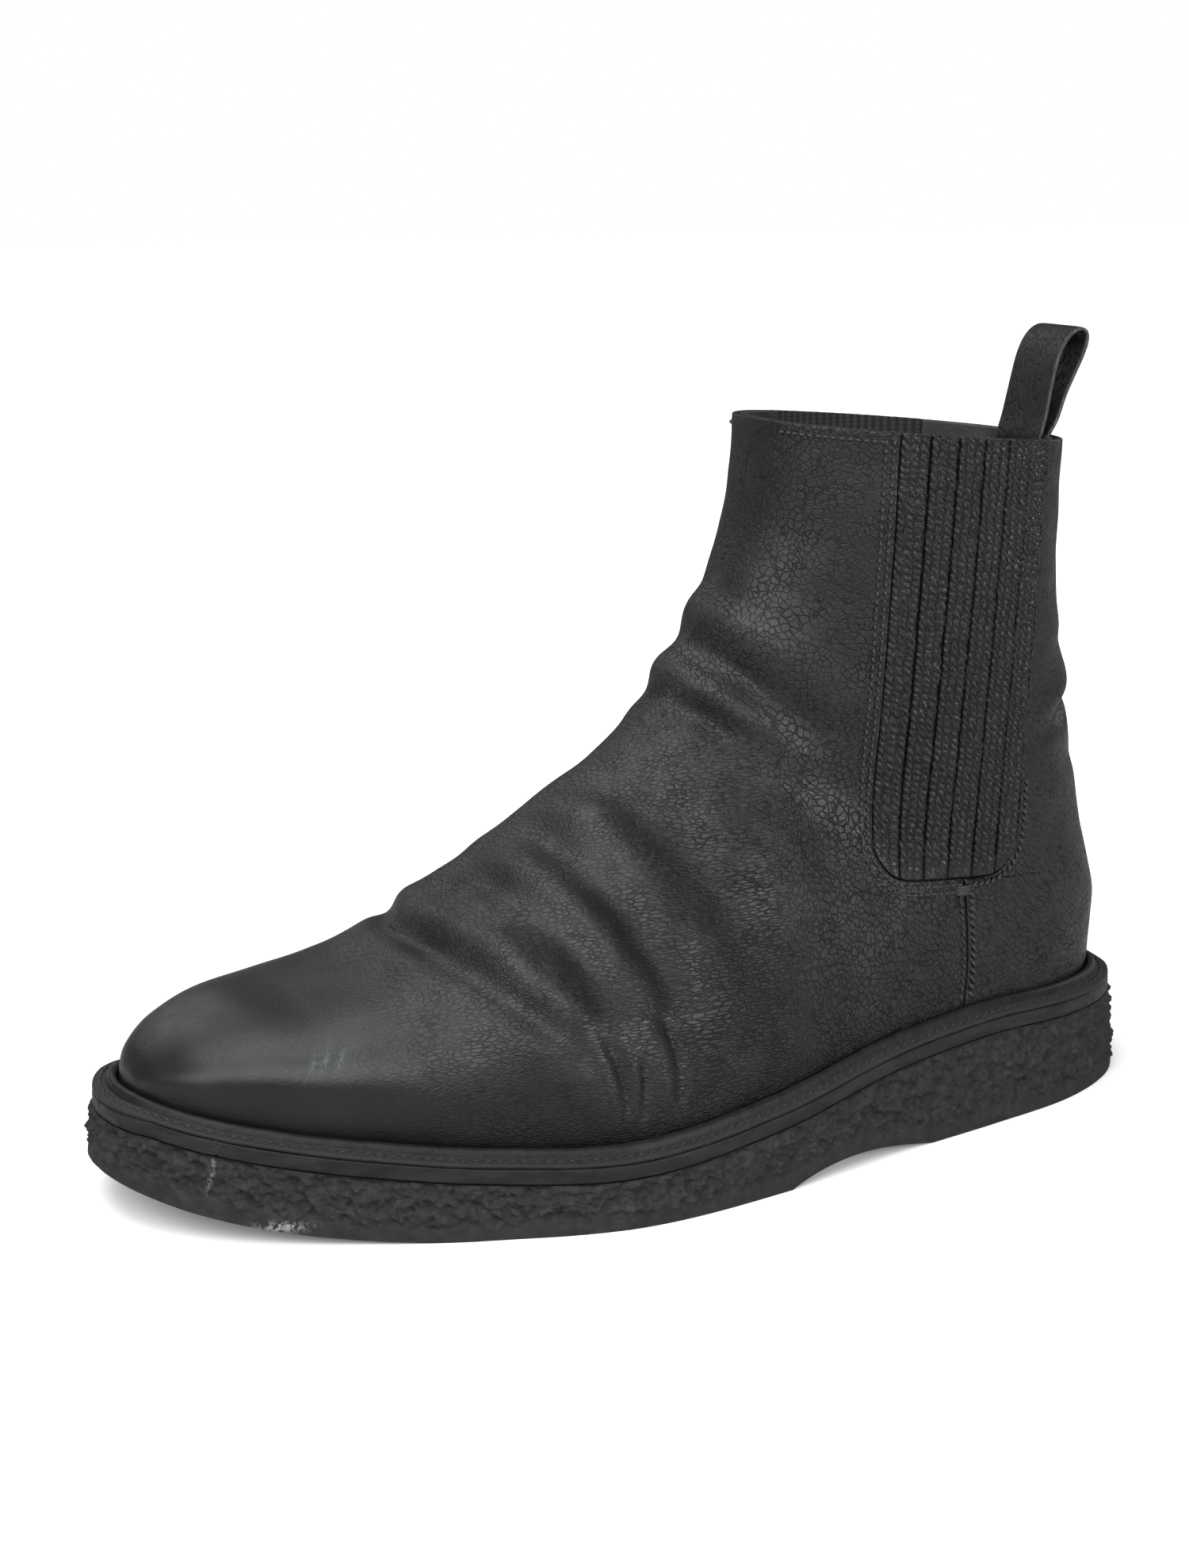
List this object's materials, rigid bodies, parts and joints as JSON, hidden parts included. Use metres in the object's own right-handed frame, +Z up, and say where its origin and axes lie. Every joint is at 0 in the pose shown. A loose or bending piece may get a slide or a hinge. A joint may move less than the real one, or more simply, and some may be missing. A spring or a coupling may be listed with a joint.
{
  "type": "chelsea boot",
  "caption": "Ankle-high leather boot with pleated elastic side gores, a back pull tab, a storm welt and a crepe wedge sole.",
  "frame": {"origin": "on the ground, on the centre line of the heel, half way along the boot", "axes": "+Z up, toe towards -Y, heel towards +Y, +X to the outer side of this left boot"},
  "size_m": [0.1169, 0.2966, 0.2069],
  "materials": {
    "crepe": "natural crepe rubber, black, rough and pitted on its cut side",
    "midsole_rubber": "smooth black rubber band with a dull sheen",
    "welt_strip": "dark brown-black storm welt, dusty in its stitch groove",
    "thread": "waxed black thread",
    "cork": "granular cork filler",
    "steel": "spring steel strip",
    "board": "pressed leatherboard",
    "sock_leather": "dark smooth lining leather",
    "upper_leather": "black pebbled leather, semi-matte, creased at the ball and ankle",
    "lining_leather": "dark smooth lining leather",
    "stiffener": "resin-stiffened felt",
    "elastic_web": "ribbed black elastic webbing",
    "pleat_leather": "thin black leather laid in twisted pleats",
    "tab_leather": "black leather strap with greyer cut edges"
  },
  "bodies": {
    "boot": {"outsole": "crepe", "midsole": "midsole_rubber", "welt": "welt_strip", "welt_thread": "thread", "cork_filler": "cork", "shank": "steel", "insole_board": "board", "heel_pad": "sock_leather", "sock_liner": "sock_leather", "vamp": "upper_leather", "back_quarter": "upper_leather", "vamp_lining": "lining_leather", "quarter_lining": "lining_leather", "toe_puff": "stiffener", "heel_counter": "stiffener", "topline_tape": "elastic_web", "gore_elastic_outer": "elastic_web", "gore_elastic_inner": "elastic_web", "gore_pleats_outer": "pleat_leather", "gore_pleats_inner": "pleat_leather", "gore_thread_outer": "thread", "gore_thread_inner": "thread", "seam_thread_outer": "thread", "seam_thread_inner": "thread", "bar_tack_outer": "thread", "bar_tack_inner": "thread", "topline_thread": "thread", "pull_tab_anchor": "tab_leather"},
    "tab": {"pull_tab": "tab_leather"}
  },
  "joints": [
    {"name": "pull_tab_swing", "type": "hinge", "parent": "boot", "child": "tab", "pos_m": [0, 0.1158, 0.1805], "axis": [1, 0, 0], "range_deg": [-60, 50], "stiffness_Nm_per_rad": 0.002}
  ]
}
